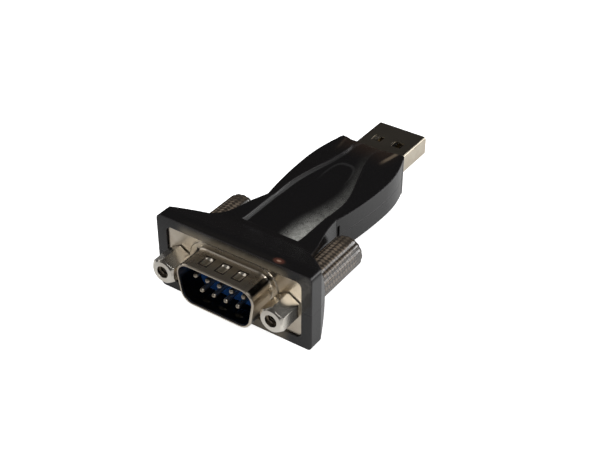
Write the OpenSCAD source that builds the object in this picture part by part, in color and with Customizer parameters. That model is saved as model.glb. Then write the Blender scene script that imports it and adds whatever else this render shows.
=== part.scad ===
// USB to serial adapter: a small moulded housing with a nine-pin serial plug at the front,
// a USB plug at the rear and a thumbscrew with a hexagonal jack nut on each side.
// X runs across, Y from the serial plug to the USB plug, Z up.
// The origin lies midway between the mouths of the two jack nuts.

/* [Serial plug] */
// Width of the metal flange
flange_w = 30.8; // [30:0.1:34]
// Height of the metal flange
flange_h = 12.55; // [12:0.05:13.2]
// Corner radius of the metal flange
flange_corner_r = 1.1; // [0.5:0.1:2]
// Thickness of each of the two flange plates
flange_t = 0.45; // [0.3:0.05:0.7]
// Distance between the axes of the two jack nuts
jack_spacing = 24.99; // [24.9:0.01:25.1]
// Diameter of the flange holes
flange_hole_d = 3.05; // [3:0.05:3.4]
// Width inside the D-shaped shell
dshell_w = 16.92; // [16.5:0.01:17.3]
// Height inside the D-shaped shell
dshell_h = 8.36; // [8.1:0.01:8.6]
// Corner radius inside the D-shaped shell
dshell_corner_r = 2.4; // [1.8:0.1:3]
// Slope of the two short sides of the D
dshell_slope = 10; // [8:1:12]
// Reach of the D-shaped shell in front of the flange
dshell_reach = 5.9; // [5.6:0.1:6.2]
// Sheet thickness of the D-shaped shell
dshell_t = 0.4; // [0.3:0.05:0.5]
// Radius of the bend between the shell and its flange
dshell_root_r = 0.8; // [0.4:0.1:1.2]
// Distance from the shell's bend to the raised ring on the flange
ring_gap = 0.5; // [0.3:0.05:0.7]
// Number of contact dimples on each long side of the shell
dimple_n = 3; // [2:1:4]
// Distance between neighbouring dimples
dimple_pitch = 3.8; // [3.4:0.1:4.4]
// Width of a dimple
dimple_w = 1.8; // [1.4:0.1:2.2]
// Length of a dimple
dimple_len = 2.6; // [2:0.1:3]
// Depth of a dimple
dimple_depth = 0.3; // [0.2:0.05:0.4]
// Diameter of a contact pin
pin_d = 1.02; // [0.9:0.02:1.1]
// Distance between neighbouring pins of a row
pin_pitch = 2.77; // [2.7:0.01:2.8]
// Distance between the two pin rows
row_gap = 2.84; // [2.7:0.01:2.9]
// Reach of the pin tips in front of the flange
pin_reach = 4.7; // [4.3:0.1:5.2]
// Outer diameter of a solder cup
cup_d = 1.7; // [1.5:0.05:1.75]
// Length of a solder cup behind the insulator
cup_len = 3.6; // [3:0.1:4.2]
// Depth of the serial plug's insulator behind the flange
insulator_depth = 5.9; // [5.4:0.1:6.4]
// Height of the insulator's narrow rear part
insulator_h = 5.6; // [5:0.1:6]
// Width of the rear shell's drawn body
rear_body_w = 19; // [18.6:0.1:19.6]
// Height of the rear shell's drawn body
rear_body_h = 10.6; // [10.2:0.1:11]
// Distance of the rear shell's two upper and two lower tabs from the middle
tab_x = 8; // [6.5:0.1:8.4]
// Width of a tab
tab_w = 2.2; // [1.6:0.1:2.6]
// Reach of a tab behind the flange
tab_reach = 2.7; // [2.2:0.1:3]

/* [Jack nuts and thumbscrews] */
// Length of a jack nut
nut_len = 5.5; // [4.5:0.1:6.5]
// Width of a jack nut across its flats
nut_af = 5; // [4.7:0.05:5.4]
// Gap between a jack nut and the flange
nut_gap = 0.2; // [0.1:0.05:0.4]
// Diameter of the threaded hole in a jack nut
thread_d = 2.6; // [2.5:0.02:2.64]
// Depth of the open threaded hole in a jack nut
thread_depth = 3.3; // [2.8:0.1:3.8]
// Diameter of a thumbscrew's shank
shank_d = 2.88; // [2.8:0.02:2.9]
// Outer diameter of a thumb knob
knob_d = 7; // [6.4:0.1:7.2]
// Length of a thumb knob
knob_len = 15.2; // [13:0.1:15.8]
// Radius of the round edge at a knob's rear end
knob_round_r = 1.4; // [0.6:0.1:2]
// Number of grip flutes round a knob
flute_n = 16; // [10:1:20]
// Depth of a grip flute
flute_depth = 0.28; // [0.15:0.01:0.4]
// Diameter of the knurled metal core inside a knob
core_d = 4.9; // [4.2:0.1:5.2]
// Length of the knurled metal core
core_len = 12.2; // [10:0.1:13]
// Number of teeth round the knurled core
knurl_n = 18; // [12:1:24]
// Depth of the knurl
knurl_depth = 0.35; // [0.2:0.05:0.5]
// Number of rings that cross the knurl
knurl_rings = 7; // [4:1:9]

/* [Housing] */
// Width of the front frame
frame_w = 35.6; // [34.8:0.1:38]
// Height of the front frame
frame_h = 16.8; // [16:0.1:18]
// Corner radius of the front frame
frame_corner_r = 1; // [0.5:0.1:2]
// How far the front frame stands proud of the metal flange
frame_lip = 0.4; // [0.2:0.05:0.8]
// Depth of the frame's sides at mid height
frame_depth = 5.45; // [5.2:0.05:6]
// Radius of the frame's rear edge, seen from the side
frame_rear_r = 14; // [13:0.5:20]
// Flat part of the frame's sides before they turn inwards
side_flat = 3.05; // [2:0.05:4]
// How far the frame's sides turn inwards
side_turn = 0.8; // [0.3:0.1:1.2]
// Wall thickness
wall = 1.2; // [0.9:0.1:1.3]
// Width of the neck at its rear end
neck_w = 16.4; // [16.2:0.1:17]
// Distance from the flange to the rear end of the neck
neck_end = 22.4; // [22:0.1:23]
// Angle at which the flanks spread from the neck's rear end
neck_flare = 9; // [7:0.5:11]
// Radius of the neck's hollow flanks, seen from above
neck_r = 75; // [60:1:90]
// Distance from the flange to where the flanks spread to the frame
spread_at = 8; // [7:0.1:9]
// Half height of the hood's deck
deck_h = 4.5; // [4.4:0.05:4.7]
// Slope of the sweep from the frame down to the deck
sweep_slope = 24; // [22:0.5:26]
// Radius at the foot of the sweep
sweep_r = 12; // [9:0.5:14]
// Distance from the flange to where the sweep meets the deck
sweep_end = 13.9; // [13:0.1:15]
// Distance from the flange to the front of the sunken panel
panel_front = 11.6; // [11:0.1:13]
// Width of the sunken panel on the hood
panel_w = 12.9; // [12:0.1:13.2]
// Depth of the sunken panel below its rim
panel_depth = 0.4; // [0.2:0.05:0.45]
// Width of the rim between the panel and the shoulders
panel_rim = 0.15; // [0.1:0.05:0.3]
// Distance from the flange to the rear end of the body
body_end = 50; // [48:0.1:53]
// Width of the body just behind the neck
body_front_w = 16.5; // [16.5:0.1:17]
// Width of the body at its widest
body_w = 19.7; // [18.8:0.1:21]
// Distance from the flange to the widest place
widest_at = 38.5; // [36:0.5:41]
// Width of the body at its rear corners
body_rear_w = 16.4; // [15:0.1:18]
// Radius of the body's rear corners
rear_corner_r = 2.2; // [1.5:0.1:3]
// Half height of the body's low front part
low_h = 4.3; // [4.2:0.05:4.45]
// Distance from the flange to where the body starts to rise
rise_at = 26; // [25:0.5:28]
// Half height of the body's crest
crest_h = 5.58; // [5.2:0.02:5.7]
// Distance from the flange to the crest
crest_at = 45; // [44:0.5:46]
// Half height of the body at its rear end
rear_h = 4; // [3.7:0.05:4.4]
// Half height of the body's sides at the widest place
side_h = 3.68; // [3.6:0.02:3.8]
// Slope of the body's shoulders
shoulder_slope = 14.3; // [13.8:0.1:14.6]
// Angle at which the shoulders rise towards the rear
shoulder_rise = 0.68; // [0:0.02:0.8]
// Angle at which the hood's shoulders fall to the neck's rear end
neck_fall = 10; // [9:0.5:12]
// Distance from the flange to where that fall starts
fall_at = 15; // [14.8:0.1:15.2]
// Clearance between a knob and the housing
knob_gap = 0.35; // [0.3:0.05:0.6]
// Distance from the flange to the slit in each side
slit_at = 22.9; // [22.8:0.1:23.4]
// Width of the slit in each side
slit_w = 0.7; // [0.4:0.05:1]
// Height of the slit in each side
slit_h = 4.6; // [3:0.1:5]
// Depth of the slit in each side
slit_depth = 0.7; // [0.4:0.05:0.8]

/* [Thumb rest] */
// Distance from the flange to the middle of the thumb rest
dish_at = 31; // [29:0.5:33]
// Length of the thumb rest
dish_len = 20; // [14:0.5:22]
// Width of the thumb rest
dish_w = 7.2; // [5:0.1:8]
// Depth of the thumb rest
dish_depth = 0.45; // [0.2:0.05:0.6]

/* [USB plug] */
// Width of the metal shell
usb_w = 12; // [11.9:0.05:12.2]
// Height of the metal shell
usb_h = 4.5; // [4.4:0.05:4.6]
// Length of the metal shell
usb_len = 18.4; // [17.5:0.1:19.5]
// Reach of the metal shell out of the housing
usb_reach = 11.9; // [11.5:0.1:12.5]
// Sheet thickness of the metal shell
usb_t = 0.32; // [0.25:0.01:0.4]
// Corner radius of the metal shell
usb_corner_r = 0.7; // [0.5:0.05:1]
// Distance from the plug's mouth to its windows
window_at = 5.1; // [4.8:0.05:5.4]
// Length of a window
window_len = 2.3; // [2:0.05:2.6]
// Width of a window
window_w = 2.3; // [2:0.05:2.6]
// Distance between the middles of the two windows
window_gap = 5; // [4.6:0.1:5.4]
// Length of the plastic block behind the tongue
usb_block_len = 5.4; // [5:0.1:5.8]
// Thickness of the plastic tongue
tongue_t = 1.85; // [1.6:0.05:1.95]
// Distance of the two inner contacts from the middle
contact_inner_x = 1; // [0.9:0.05:1.1]
// Distance of the two outer contacts from the middle
contact_outer_x = 3.5; // [3.3:0.05:3.7]
// Width of a contact
contact_w = 1; // [0.8:0.05:1.2]
// Length of a contact's tail on the board
tail_len = 1.5; // [1:0.1:1.8]
// Thickness of the contacts
contact_t = 0.25; // [0.2:0.01:0.3]

/* [Circuit board] */
// Thickness of the board
board_t = 1; // [0.8:0.05:1.1]
// Distance from the flange to the front edge of the board
board_front = 7.2; // [6.8:0.1:8]
// Width of the board in the neck
board_neck_w = 13.4; // [12:0.1:14]
// Width of the board in the body
board_w = 15.2; // [13.5:0.1:15.6]
// Distance from the flange to where the board widens
board_step = 27; // [26.5:0.1:28]
// Diameter of the posts that locate the board
post_d = 1.5; // [1.2:0.1:1.8]
// Diameter of the bosses that hold the board
boss_d = 2.8; // [2.4:0.1:3.2]
// Distance from the flange to the front pair of bosses
boss_front = 19.1; // [18.5:0.1:19.6]
// Distance from the flange to the rear pair of bosses
boss_rear = 41; // [40:0.1:41.4]
// Distance from the edge of the board to a boss
boss_margin = 0.2; // [0:0.05:0.4]
// Distance from the flange to the rib that cradles the USB shell
cradle_at = 45.4; // [44.6:0.1:46]
// Thickness of the cradle rib
cradle_t = 1; // [0.8:0.1:1.2]
// Distance from the flange to the middle of the interface chip
bridge_at = 33; // [32.6:0.1:33.4]
// Distance from the flange to the middle of the line driver chip
driver_at = 20; // [19:0.1:21]
// Distance from the flange to the middle of the crystal
crystal_at = 24.5; // [23.5:0.1:25]
// Distance from the flange to the row of capacitors
cap_at = 13; // [12:0.1:14]
// Distance from the flange to the row of resistors
res_at = 16.6; // [16:0.1:17]
// Distance between neighbouring capacitors or resistors
row_pitch = 2.4; // [2.2:0.1:2.6]
// Length of the interface chip
bridge_len = 10.2; // [9.5:0.1:11]
// Width of the interface chip's body
bridge_w = 5.3; // [5:0.1:5.6]
// Length of the line driver chip
driver_len = 9.9; // [9:0.1:10.4]
// Width of the line driver chip's body
driver_w = 3.9; // [3.7:0.1:4.4]
// Height of both chips' bodies
chip_h = 1.5; // [1.2:0.05:1.7]
// Thickness of the chips' leads
lead_t = 0.15; // [0.1:0.05:0.2]
// Reach of the chips' leads
lead_reach = 1.1; // [0.9:0.05:1.2]
// Distance between neighbouring leads of the interface chip
bridge_pitch = 0.65; // [0.6:0.05:0.7]
// Distance between neighbouring leads of the line driver chip
driver_pitch = 1.27; // [1.2:0.01:1.3]
// Length of the crystal
crystal_len = 5; // [4:0.1:6]
// Width of the crystal
crystal_w = 3.2; // [2.5:0.1:3.4]
// Height of the crystal
crystal_h = 1.1; // [0.8:0.1:1.4]
// Length of a capacitor
cap_len = 2; // [1.6:0.1:2.4]
// Width of a capacitor
cap_w = 1.25; // [1:0.05:1.5]
// Length of a resistor
res_len = 1.6; // [1.4:0.1:1.8]
// Width of a resistor
res_w = 0.8; // [0.7:0.05:1]
// Height of a resistor
res_h = 0.45; // [0.35:0.05:0.6]

/* [Hidden] */
$fn = 48;

// Small clearances and steps
fit_gap = 0.05;
seat_gap = 0.1;
eps = 0.01;
insulator_lip = 0.3;
frame_inset = 0.02;
ring_soft = 0.12;
rim_soft = 0.15;
tongue_inset = 0.4;
knob_edge = 0.4;
knob_lead = 1.2;
flute_r = 0.5;
nut_chamfer = 0.6;
nut_face_inset = 0.3;
knurl_start = 0.8;
rear_body_r = 1.5;
cup_wall = 0.25;
cup_depth = 2.4;
arc_steps = 10;
corner_steps = 7;
crest_steps = 14;

// Stations along Y, from the mouths of the jack nuts
plate_y = nut_len + nut_gap;
frame_front_y = plate_y - frame_lip;
frame_rear_y = frame_front_y + frame_depth;
plates_rear_y = plate_y + 2 * flange_t;
bulkhead_y = plates_rear_y + wall;
neck_end_y = plate_y + neck_end;
body_end_y = plate_y + body_end;
usb_tip_y = body_end_y + usb_reach;
usb_rear_y = usb_tip_y - usb_len;
insulator_joint_y = bulkhead_y + 0.3;
cup_front_y = plate_y + insulator_depth;
cup_rear_y = cup_front_y + cup_len;
knob_front_y = frame_rear_y + knob_gap;
knob_rear_y = knob_front_y + knob_len;
board_front_y = plate_y + board_front;
board_rear_y = usb_rear_y - seat_gap;
board_step_y = plate_y + board_step;

post_front_x = board_neck_w / 2 - boss_d / 2 - boss_margin;
post_rear_x = board_w / 2 - boss_d / 2 - boss_margin;
post_places = [for (s = [-1, 1]) each [[s * post_front_x, plate_y + boss_front],
    [s * post_rear_x, plate_y + boss_rear]]];
socket_depth = 1.3;

jack_x = jack_spacing / 2;
pocket_r = knob_d / 2 + knob_gap;
pocket_end_y = neck_end_y + knob_gap;
apex_h = side_h + body_w / 2 * tan(shoulder_slope);
neck_apex_h = apex_h - (widest_at - neck_end) * tan(shoulder_rise);
sweep_foot = sweep_end - sweep_r * sin(sweep_slope);

// Radius of an arc with a given chord half and rise
function arc_radius(chord, rise) = (chord * chord + rise * rise) / (2 * rise);

// Drop of an arc below its top at a distance from it
function arc_drop(r, d) = r - sqrt(max(0, r * r - d * d));

// Soft step from 0 to 1
function ease(t) = t <= 0 ? 0 : t >= 1 ? 1 : t * t * (3 - 2 * t);

// Half height of the crest profile at a distance behind the flange
function crest_z(y) = y < crest_at ? low_h + (crest_h - low_h) * ease((y - rise_at) / (crest_at - rise_at))
    : crest_h - arc_drop(arc_radius(body_end - crest_at, crest_h - rear_h), y - crest_at);

// Height of the body's ridge line above the axis, where both shoulders would meet
function ridge_z(y) = apex_h - (widest_at - y) * tan(shoulder_rise);

// Half width of the body at a distance behind the flange
function body_x(y) = body_w / 2 - (y < widest_at
    ? arc_drop(arc_radius(widest_at - neck_end, (body_w - body_front_w) / 2), widest_at - y)
    : arc_drop(arc_radius(body_end - rear_corner_r - widest_at, (body_w - body_rear_w) / 2), y - widest_at));

// Half width of the hood's flank at a distance behind the flange
function neck_x(y) = neck_w / 2 + (neck_end - y) * tan(neck_flare) + arc_drop(neck_r, neck_end - y);

// Half height of the hood's top at a distance behind the flange
function hood_z(y) = y < sweep_foot ? hood_z(sweep_foot) + (sweep_foot - y) * tan(sweep_slope)
    : deck_h + arc_drop(sweep_r, max(0, sweep_end - y));

// Points of an arc from angle a to angle b
function arc(cx, cy, r, a, b, n) = [for (i = [0 : n]) [cx + r * cos(a + (b - a) * i / n),
    cy + r * sin(a + (b - a) * i / n)]];

// Mirror a list of points across the vertical axis, in reverse order
function mirrored(p) = [for (i = [len(p) - 1 : -1 : 0]) [-p[i][0], p[i][1]]];

// Mirror a list of points across the horizontal axis, in reverse order
function upside_down(p) = [for (i = [len(p) - 1 : -1 : 0]) [p[i][0], -p[i][1]]];

// Rectangle with round corners, centred
module round_rect(w, h, r) {
    polygon(concat(arc(w / 2 - r, h / 2 - r, r, 0, 90, corner_steps),
        arc(r - w / 2, h / 2 - r, r, 90, 180, corner_steps),
        arc(r - w / 2, r - h / 2, r, 180, 270, corner_steps),
        arc(w / 2 - r, r - h / 2, r, 270, 360, corner_steps)));
}

// Extrude a drawing in X and Z along Y
module along_y(y0, y1) {
    translate([0, y1, 0]) rotate([90, 0, 0]) linear_extrude(height = y1 - y0) children();
}

// Extrude a drawing in Y and Z along X, centred
module along_x(w) {
    translate([-w / 2, 0, 0]) rotate([90, 0, 90]) linear_extrude(height = w) children();
}

// Extrude a drawing in X and Y along Z, centred
module along_z(h) {
    translate([0, 0, -h / 2]) linear_extrude(height = h) children();
}

// Cylinder along Y
module rod(y0, y1, r) {
    translate([0, y0, 0]) rotate([-90, 0, 0]) cylinder(h = y1 - y0, r = r);
}

// Cone along Y
module cone(y0, y1, r0, r1) {
    translate([0, y0, 0]) rotate([-90, 0, 0]) cylinder(h = y1 - y0, r1 = r0, r2 = r1);
}

// The front frame as a block, with a margin taken off all round
module frame_block(g) {
    half_w = frame_w / 2 - g;
    half_h = frame_h / 2 - g;
    rear = frame_depth - frame_lip - g;
    intersection() {
        along_x(frame_w) polygon(concat([[frame_front_y, half_h], [frame_front_y, -half_h]],
            [for (i = [-arc_steps : arc_steps])
                [plate_y + rear - arc_drop(frame_rear_r, half_h * i / arc_steps), half_h * i / arc_steps]]));
        along_z(frame_h) polygon([[half_w, frame_front_y], [half_w, frame_front_y + side_flat],
            [half_w - side_turn, frame_rear_y + eps], [side_turn - half_w, frame_rear_y + eps],
            [-half_w, frame_front_y + side_flat], [-half_w, frame_front_y]]);
        along_y(frame_front_y, frame_rear_y) round_rect(2 * half_w, 2 * half_h, max(0.2, frame_corner_r - g));
    }
}

// Room under both sloping shoulders and over both below, which tilt about the neck's rear end
module between_roofs(g, y0, y1, tilt) {
    top_h = neck_apex_h - g / cos(shoulder_slope);
    eave_h = top_h - frame_w * tan(shoulder_slope);
    intersection_for (side = [0, 1]) {
        mirror([0, 0, side]) translate([0, neck_end_y, 0]) rotate([tilt, 0, 0]) along_y(y0, y1)
            polygon([[0, top_h], [-frame_w, eave_h], [-frame_w, -frame_w], [frame_w, -frame_w],
                [frame_w, eave_h]]);
    }
}

// The hood behind the frame, which sweeps down and in to the neck
module hood_block(g) {
    front_y = plate_y + wall;
    turn_y = plate_y + side_flat - frame_lip;
    half_w = frame_w / 2 - frame_inset - g;
    half_h = frame_h / 2 - frame_inset - g;
    spread_x = neck_x(spread_at);
    flank = concat([[half_w, front_y], [half_w, turn_y - g]],
        [for (i = [1 : arc_steps - 1]) let (t = i / arc_steps)
            [half_w - (frame_w / 2 - frame_inset - spread_x) * t,
             turn_y + (plate_y + spread_at - turn_y) * (t + 0.28 * t * (1 - t)) - g]],
        [for (i = [0 : arc_steps]) let (y = spread_at + (neck_end - spread_at) * i / arc_steps)
            [neck_x(y) - g, plate_y + y]]);
    brow = sweep_foot - (frame_h / 2 - frame_inset - hood_z(sweep_foot)) / tan(sweep_slope);
    profile = concat([[front_y, half_h], [plate_y + brow, half_h]],
        [for (i = [0 : arc_steps]) let (y = sweep_foot + (sweep_end - sweep_foot) * i / arc_steps)
            [plate_y + y, hood_z(y) - g]], [[neck_end_y, deck_h - g]]);
    intersection() {
        along_z(frame_h) polygon(concat(flank, mirrored(flank)));
        along_x(frame_w) polygon(concat(profile, upside_down(profile)));
        along_y(front_y, neck_end_y) round_rect(2 * half_w, 2 * half_h, max(0.2, frame_corner_r - g));
        union() {
            between_roofs(g, fall_at - neck_end, frame_w, -neck_fall);
            translate([-frame_w, 0, -frame_h]) cube([2 * frame_w, plate_y + fall_at + wall, 2 * frame_h]);
        }
    }
}

// The body behind the neck, with a crest, sloping shoulders and bowed sides
module body_block(g, front_y) {
    rear_c = body_end - rear_corner_r;
    r = max(0.4, rear_corner_r - g);
    y0 = front_y - plate_y;
    side = concat(
        [for (i = [0 : arc_steps]) let (y = y0 + (widest_at - y0) * i / arc_steps)
            [body_x(y) - g, plate_y + y]],
        [for (i = [1 : arc_steps - 1]) let (y = widest_at + (rear_c - widest_at) * i / arc_steps)
            [body_x(y) - g, plate_y + y]],
        arc(body_x(rear_c) - g - r, plate_y + rear_c + rear_corner_r - g - r, r, 0, 90, corner_steps));
    crest = concat([[front_y, low_h - g]], crest_line(g, body_end - g));
    intersection() {
        along_z(frame_h) polygon(concat(side, mirrored(side)));
        along_x(frame_w) polygon(concat(crest, upside_down(crest)));
        between_roofs(g, -frame_w, body_end, shoulder_rise);
    }
}

// Points of the crest profile from the rise to a station, with a margin taken off
function crest_line(g, last) = concat(
    [for (i = [0 : crest_steps]) let (y = rise_at + (crest_at - rise_at) * i / crest_steps)
        [plate_y + y, crest_z(y) - g]],
    [for (i = [1 : arc_steps]) let (y = crest_at + (last - crest_at) * i / arc_steps)
        [plate_y + y, crest_z(y) - g]]);

// The sunken panel as a block, grown by a margin
module panel_block(g) {
    wide_y = neck_end - neck_w / 10;
    edge = concat([[panel_w / 2 + g, plate_y + panel_front - g], [panel_w / 2 + g, plate_y + wide_y]],
        [for (i = [0 : 2 * arc_steps]) let (y = neck_end + (body_end - neck_end) * i / (2 * arc_steps))
            [(ridge_z(y) - crest_z(y)) / tan(shoulder_slope) - panel_rim + g, plate_y + y]],
        [[(ridge_z(body_end) - crest_z(body_end)) / tan(shoulder_slope) - panel_rim + g, body_end_y + 1]]);
    floor_line = concat([[plate_y + panel_front - g, deck_h - panel_depth - g],
        [neck_end_y, deck_h - panel_depth - g]], crest_line(panel_depth + g, body_end));
    intersection() {
        along_z(2 * frame_h) polygon(concat(edge, mirrored(edge)));
        along_x(frame_w) polygon(concat(floor_line,
            [[body_end_y, frame_h], [plate_y + panel_front - g, frame_h]]));
    }
}

// The whole outer form of the housing
module housing_form() {
    difference() {
        union() {
            frame_block(0);
            hood_block(0);
            body_block(0, neck_end_y);
        }
        for (s = [-1, 1]) {
            translate([s * jack_x, 0, 0]) rod(frame_rear_y, pocket_end_y, pocket_r);
            translate([s * body_x(slit_at), plate_y + slit_at, 0])
                cube([2 * slit_depth, slit_w, slit_h], center = true);
        }
    }
}

// The hollow inside the housing
module housing_cavity() {
    difference() {
        union() {
            intersection() {
                frame_block(wall);
                translate([-frame_w, bulkhead_y, -frame_h]) cube([2 * frame_w, frame_depth, 2 * frame_h]);
            }
            difference() {
                hood_block(wall);
                translate([-frame_w, 0, -frame_h]) cube([2 * frame_w, bulkhead_y, 2 * frame_h]);
            }
            body_block(wall, neck_end_y - wall);
        }
        for (s = [-1, 1]) {
            translate([s * jack_x, 0, 0]) rod(frame_rear_y - wall, pocket_end_y + wall, pocket_r + wall);
            for (p = post_places) {
                translate([p[0], p[1], s > 0 ? board_t / 2 : -frame_h])
                    cylinder(h = frame_h - board_t / 2, d = boss_d);
            }
        }
        cradle_rib();
        panel_block(wall);
    }
}

// Rib across the body with a seat for the USB shell
module cradle_rib() {
    difference() {
        translate([-body_w / 2, plate_y + cradle_at, -frame_h / 2]) cube([body_w, cradle_t, frame_h]);
        usb_passage(plate_y + cradle_at - 1, body_end_y);
    }
}

// Way for the USB shell along a stretch
module usb_passage(y0, y1) {
    along_y(y0, y1) round_rect(usb_w + 2 * fit_gap, usb_h + 2 * fit_gap, usb_corner_r + fit_gap);
}

// Openings for the plug's flange, its rear part, the two shanks and the USB shell
module housing_openings() {
    along_y(frame_front_y - eps, plates_rear_y)
        round_rect(flange_w + 2 * seat_gap, flange_h + 2 * seat_gap, flange_corner_r + seat_gap);
    along_y(plates_rear_y - eps, bulkhead_y + eps)
        square([rear_body_w + 4 * seat_gap, rear_body_h + 4 * seat_gap], center = true);
    for (s = [-1, 1]) {
        translate([s * jack_x, 0, 0])
            rod(plates_rear_y - eps, frame_rear_y + eps, shank_d / 2 + 4 * seat_gap);
    }
    for (s = [-1, 1]) for (t = [-1, 1]) {
        translate([s * tab_x, (plates_rear_y + bulkhead_y) / 2, t * (flange_h - flange_t) / 2])
            cube([tab_w + 4 * seat_gap, wall + 4 * seat_gap, flange_t + 2 * seat_gap], center = true);
    }
    usb_passage(body_end_y - 2 * wall, body_end_y + eps);
}

// The sunken panel and the thumb rest in it
module top_recesses() {
    half = dish_len / 2;
    ends_z = [crest_z(dish_at - half), crest_z(dish_at + half)];
    sag = (ends_z[0] + ends_z[1]) / 2 - crest_z(dish_at) + dish_depth;
    cross_r = arc_radius(dish_w / 2, dish_depth);
    long_r = arc_radius(half, sag);
    panel_block(0);
    translate([0, plate_y + dish_at, crest_z(dish_at) - panel_depth - dish_depth])
        rotate([atan((ends_z[1] - ends_z[0]) / dish_len), 0, 0]) translate([0, 0, long_r])
            rotate([0, 90, 0]) rotate_extrude($fn = 180) translate([long_r - cross_r, 0]) intersection() {
                circle(r = cross_r);
                translate([0, -dish_w]) square([2 * cross_r, 2 * dish_w]);
            }
}

// Half of the housing wall, above or below the parting plane
module shell_half(side) {
    intersection() {
        difference() {
            housing_form();
            housing_cavity();
            housing_openings();
        }
        translate([-frame_w, -eps, side > 0 ? 0 : -frame_h]) cube([2 * frame_w, 2 * body_end_y, frame_h]);
    }
}

module upper_shell() {
    color([0.09, 0.085, 0.085]) difference() {
        shell_half(1);
        top_recesses();
        for (p = post_places) {
            translate([p[0], p[1], 0]) cylinder(h = board_t / 2 + socket_depth, d = post_d + 2 * fit_gap);
        }
    }
}

module lower_shell() {
    color([0.08, 0.075, 0.075]) {
        shell_half(-1);
        for (p = post_places) {
            translate([p[0], p[1], -board_t])
                cylinder(h = 1.5 * board_t + socket_depth - seat_gap, d = post_d);
        }
    }
}

// Outline of the D, grown by a margin
function d_outline(g) = let (
    r = dshell_corner_r + g,
    h = dshell_h / 2 - dshell_corner_r,
    top_x = dshell_w / 2 - dshell_corner_r,
    low_x = top_x - 2 * h * tan(dshell_slope))
    concat(arc(top_x, h, r, -dshell_slope, 90, corner_steps),
        arc(-top_x, h, r, 90, 180 + dshell_slope, corner_steps),
        arc(-low_x, -h, r, 180 + dshell_slope, 270, corner_steps),
        arc(low_x, -h, r, 270, 360 - dshell_slope, corner_steps));

// Solid through a list of outlines that lie at the given stations along Y
module loft_y(stations, outlines) {
    n = len(outlines[0]);
    m = len(stations);
    points = [for (k = [0 : m - 1]) for (p = outlines[k]) [p[0], stations[k], p[1]]];
    sides = [for (k = [0 : m - 2]) for (i = [0 : n - 1])
        [k * n + i, k * n + (i + 1) % n, (k + 1) * n + (i + 1) % n, (k + 1) * n + i]];
    front = [for (i = [n - 1 : -1 : 0]) i];
    rear = [for (i = [0 : n - 1]) (m - 1) * n + i];
    polyhedron(points, concat([front], sides, [rear]));
}

module dsub_front_shell() {
    bend = [for (i = [0 : 4]) i * 22.5];
    ring_w = dshell_t + dshell_root_r + ring_gap;
    color([0.72, 0.70, 0.66]) {
        difference() {
            union() {
                along_y(plate_y, plate_y + flange_t) round_rect(flange_w, flange_h, flange_corner_r);
                loft_y(concat([plate_y - dshell_reach, plate_y - dshell_reach + rim_soft],
                        [for (a = bend) plate_y - dshell_root_r * (1 - sin(a))], [plate_y + flange_t / 2]),
                    concat([d_outline(dshell_t - rim_soft), d_outline(dshell_t)],
                        [for (a = bend) d_outline(dshell_t + dshell_root_r * (1 - cos(a)))],
                        [d_outline(dshell_t + dshell_root_r)]));
                loft_y([plate_y - nut_gap, plate_y - nut_gap + ring_soft, plate_y + flange_t / 2],
                    [d_outline(ring_w), d_outline(ring_w + ring_soft), d_outline(ring_w + ring_soft)]);
            }
            along_y(plate_y - dshell_reach - eps, plate_y + flange_t + eps) polygon(d_outline(0));
            for (s = [-1, 1]) {
                translate([s * jack_x, 0, 0]) rod(plate_y - eps, plate_y + flange_t + eps, flange_hole_d / 2);
            }
            dimples(0);
        }
        intersection() {
            difference() {
                dimples(dshell_t);
                dimples(0);
            }
            along_y(plate_y - dshell_reach, plate_y) polygon(d_outline(dshell_t / 2));
        }
    }
}

// Round bars that press the dimples into both long sides of the shell, grown by a margin
module dimples(g) {
    r = arc_radius(dimple_w / 2, dimple_depth);
    half = dimple_len / 2;
    for (i = [0 : dimple_n - 1]) for (s = [-1, 1]) {
        translate([(i - (dimple_n - 1) / 2) * dimple_pitch, plate_y - dshell_reach / 2,
            s * (dshell_h / 2 + dshell_t + r - dimple_depth)])
            rotate([-90, 0, 0]) rotate_extrude() polygon([[0, -half], [r + g - dimple_depth, -half],
                [r + g, 2 * dimple_depth - half], [r + g, half - 2 * dimple_depth],
                [r + g - dimple_depth, half], [0, half]]);
    }
}

module dsub_rear_shell() {
    color([0.66, 0.65, 0.62]) difference() {
        union() {
            along_y(plate_y + flange_t, plates_rear_y) round_rect(flange_w, flange_h, flange_corner_r);
            along_y(plates_rear_y - eps, bulkhead_y + wall / 2)
                round_rect(rear_body_w, rear_body_h, rear_body_r);
            for (s = [-1, 1]) for (t = [-1, 1]) {
                translate([s * tab_x - tab_w / 2, plates_rear_y - eps,
                    t * (flange_h - flange_t) / 2 - flange_t / 2])
                    cube([tab_w, plate_y + tab_reach - plates_rear_y, flange_t]);
            }
        }
        along_y(plate_y + flange_t - eps, bulkhead_y + wall) round_rect(rear_body_w - 2 * flange_t,
            rear_body_h - 2 * flange_t, rear_body_r - flange_t);
        for (s = [-1, 1]) {
            translate([s * jack_x, 0, 0]) rod(plate_y, plates_rear_y + eps, flange_hole_d / 2 + fit_gap);
        }
    }
}

// Room inside the rear shell's drawn body
module rear_body_inside() {
    round_rect(rear_body_w - 2 * flange_t - 2 * fit_gap, rear_body_h - 2 * flange_t - 2 * fit_gap,
        rear_body_r - flange_t - fit_gap);
}

// Holes for all nine pins
module pin_holes(y0, y1) {
    r = pin_d / 2 + fit_gap / 2;
    for (i = [-2 : 2]) translate([i * pin_pitch, 0, row_gap / 2]) rod(y0, y1, r);
    for (i = [-1.5 : 1.5]) translate([i * pin_pitch, 0, -row_gap / 2]) rod(y0, y1, r);
}

module dsub_front_insulator() {
    color([0.06, 0.11, 0.28]) difference() {
        union() {
            along_y(plate_y - insulator_lip, plate_y + flange_t) polygon(d_outline(-fit_gap));
            along_y(plate_y + flange_t, insulator_joint_y) rear_body_inside();
        }
        pin_holes(plate_y - 1, insulator_joint_y + eps);
    }
}

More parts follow.
